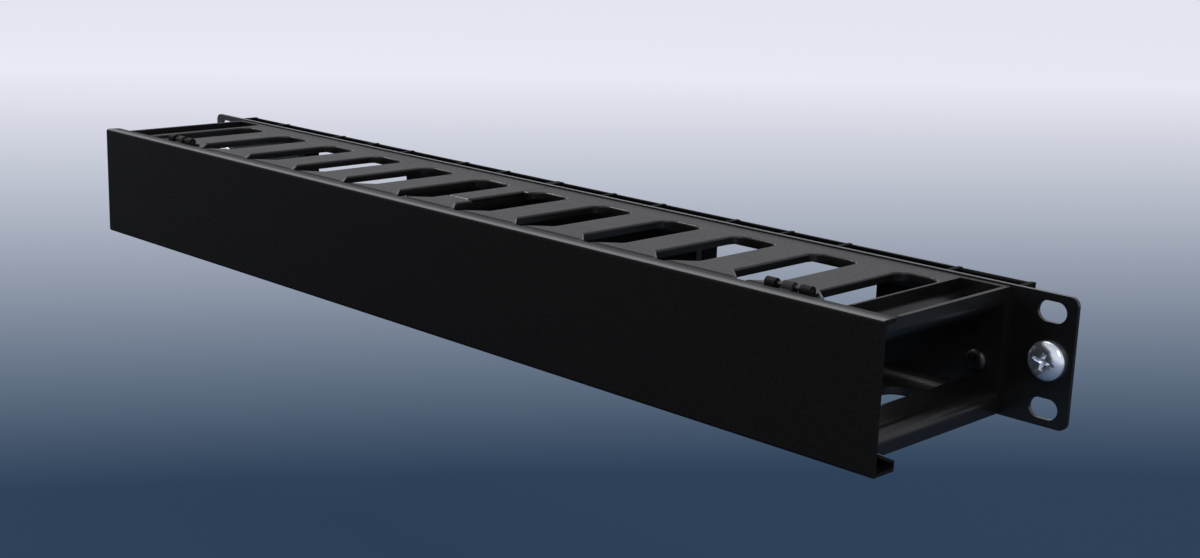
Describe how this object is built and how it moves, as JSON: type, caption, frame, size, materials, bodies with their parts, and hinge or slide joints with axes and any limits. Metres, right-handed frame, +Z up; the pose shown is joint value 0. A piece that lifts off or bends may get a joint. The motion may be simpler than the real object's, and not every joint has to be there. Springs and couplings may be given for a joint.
{
  "type": "horizontal cable manager",
  "caption": "Rack panel with a finger duct for patch cables, pass-through windows, a ribbed rear frame and a hinged cover that lifts from below.",
  "frame": {"origin": "middle of the rack panel's front face, level with the middle of its ears", "axes": "+X along the panel to its right end, +Y to the rear of the rack, so the cover is at -Y, +Z up"},
  "size_m": [0.4826, 0.0839, 0.0506],
  "materials": {
    "panel": "satin",
    "duct": "satin",
    "rear_frame": "satin",
    "cover": "fine texture",
    "hinge": "matte",
    "pin": "satin",
    "zinc": "zinc plated",
    "black_steel": "black plated"
  },
  "bodies": {
    "frame": {"rack_panel": "panel", "duct_left": "duct", "duct_right": "duct", "rear_frame_left": "rear_frame", "rear_frame_right": "rear_frame", "hinge_base_left": "hinge", "hinge_pin_left": "pin", "rack_screw_left": "zinc", "duct_screw_left_1": "black_steel", "duct_nut_left_1": "zinc", "duct_screw_left_2": "black_steel", "duct_nut_left_2": "zinc", "hinge_base_right": "hinge", "hinge_pin_right": "pin", "rack_screw_right": "zinc", "duct_screw_right_1": "black_steel", "duct_nut_right_1": "zinc", "duct_screw_right_2": "black_steel", "duct_nut_right_2": "zinc"},
    "cover": {"cover": "cover"}
  },
  "joints": [
    {"name": "cover_hinge", "type": "hinge", "parent": "frame", "child": "cover", "pos_m": [0, -0.0637, 0.023], "axis": [-1, 0, 0], "range_deg": [0, 120]}
  ]
}
